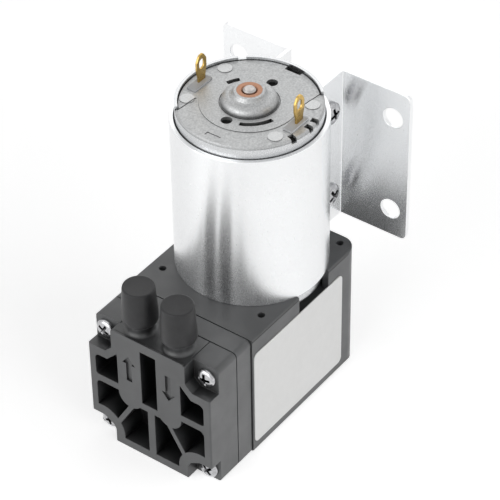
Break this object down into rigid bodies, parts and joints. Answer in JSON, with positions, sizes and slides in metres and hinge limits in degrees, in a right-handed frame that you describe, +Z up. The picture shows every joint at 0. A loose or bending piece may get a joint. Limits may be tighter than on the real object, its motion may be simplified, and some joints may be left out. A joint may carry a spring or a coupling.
{
  "type": "mini diaphragm vacuum pump",
  "caption": "Mini diaphragm vacuum pump: upright brushed motor on a moulded casing, ribbed head with two capped ports, sheet metal mounting holder.",
  "frame": {"origin": "on the motor's axis, in the plane of the base", "axes": "+Z up along the motor's axis, -Y towards the ported head, +Y towards the mounting flanges, +X towards the labelled side"},
  "size_m": [0.0558, 0.0701, 0.0917],
  "materials": {
    "moulded_casing": "satin",
    "moulded_head": "satin",
    "plated_screws": "bright",
    "can_steel": "satin",
    "cap_steel": "grained",
    "bright_holder": "bright",
    "bush_bronze": "satin",
    "magnet": "matt",
    "terminal_brass": "satin",
    "brush_plastic": "matt",
    "insulator_board": "matt",
    "carbon": "matt",
    "shaft_steel": "ground",
    "core_steel": "satin",
    "copper": "satin",
    "rod_plastic": "matt",
    "disc_aluminium": "satin",
    "valve_rubber": "matt",
    "cap_rubber": "matt",
    "label_paper": "satin"
  },
  "bodies": {
    "pump": {"casing": "moulded_casing", "base_cover": "moulded_casing", "head_cover": "moulded_head", "valve_plate": "moulded_head", "base_screws": "plated_screws", "motor_screws": "plated_screws", "head_screws": "plated_screws", "holder_screws": "plated_screws", "holder_nuts": "plated_screws", "motor_can": "can_steel", "end_cap": "cap_steel", "motor_holder": "bright_holder", "front_bush": "bush_bronze", "rear_bush": "bush_bronze", "field_magnets": "magnet", "terminals": "terminal_brass", "brush_arms": "terminal_brass", "brush_plate": "brush_plastic", "terminal_insulators": "insulator_board", "carbon_brushes": "carbon", "diaphragm": "valve_rubber", "valve_gasket": "valve_rubber", "side_label": "label_paper"},
    "rotor": {"rotor_shaft": "shaft_steel", "armature_core": "core_steel", "armature_windings": "copper", "commutator": "copper", "eccentric": "terminal_brass", "grub_screw": "carbon", "bearing_inner_race": "shaft_steel", "retaining_ring": "carbon"},
    "rod": {"bearing_balls": "shaft_steel", "bearing_outer_race": "shaft_steel", "connecting_rod": "rod_plastic", "clamp_disc": "disc_aluminium", "clamp_bolt": "plated_screws"},
    "inlet_flap": {"inlet_flap": "valve_rubber"},
    "outlet_flap": {"outlet_flap": "valve_rubber"},
    "inlet_dust_cap": {"inlet_dust_cap": "cap_rubber"},
    "outlet_dust_cap": {"outlet_dust_cap": "cap_rubber"}
  },
  "joints": [
    {"name": "rotor_spin", "type": "hinge", "parent": "pump", "child": "rotor", "pos_m": [0, 0, 0.0183], "axis": [0, 0, 1], "continuous": true},
    {"name": "rod_swing", "type": "hinge", "parent": "rotor", "child": "rod", "pos_m": [0, 0.0015, 0.0183], "axis": [0, 0, 1], "continuous": true, "deforming": ["diaphragm"]},
    {"name": "inlet_flap_lift", "type": "hinge", "parent": "pump", "child": "inlet_flap", "pos_m": [0.0058, -0.0319, 0.0223], "axis": [1, 0, 0], "range_deg": [0, 12]},
    {"name": "outlet_flap_lift", "type": "hinge", "parent": "pump", "child": "outlet_flap", "pos_m": [-0.0058, -0.0319, 0.0223], "axis": [-1, 0, 0], "range_deg": [0, 12]},
    {"name": "inlet_cap_pull", "type": "slide", "parent": "pump", "child": "inlet_dust_cap", "axis": [0, 0, 1], "range_m": [0, 0.014]},
    {"name": "outlet_cap_pull", "type": "slide", "parent": "pump", "child": "outlet_dust_cap", "axis": [0, 0, 1], "range_m": [0, 0.014]}
  ],
  "couplings": [
    {"joint": "rod_swing", "follows": "rotor_spin", "ratio": -1}
  ]
}
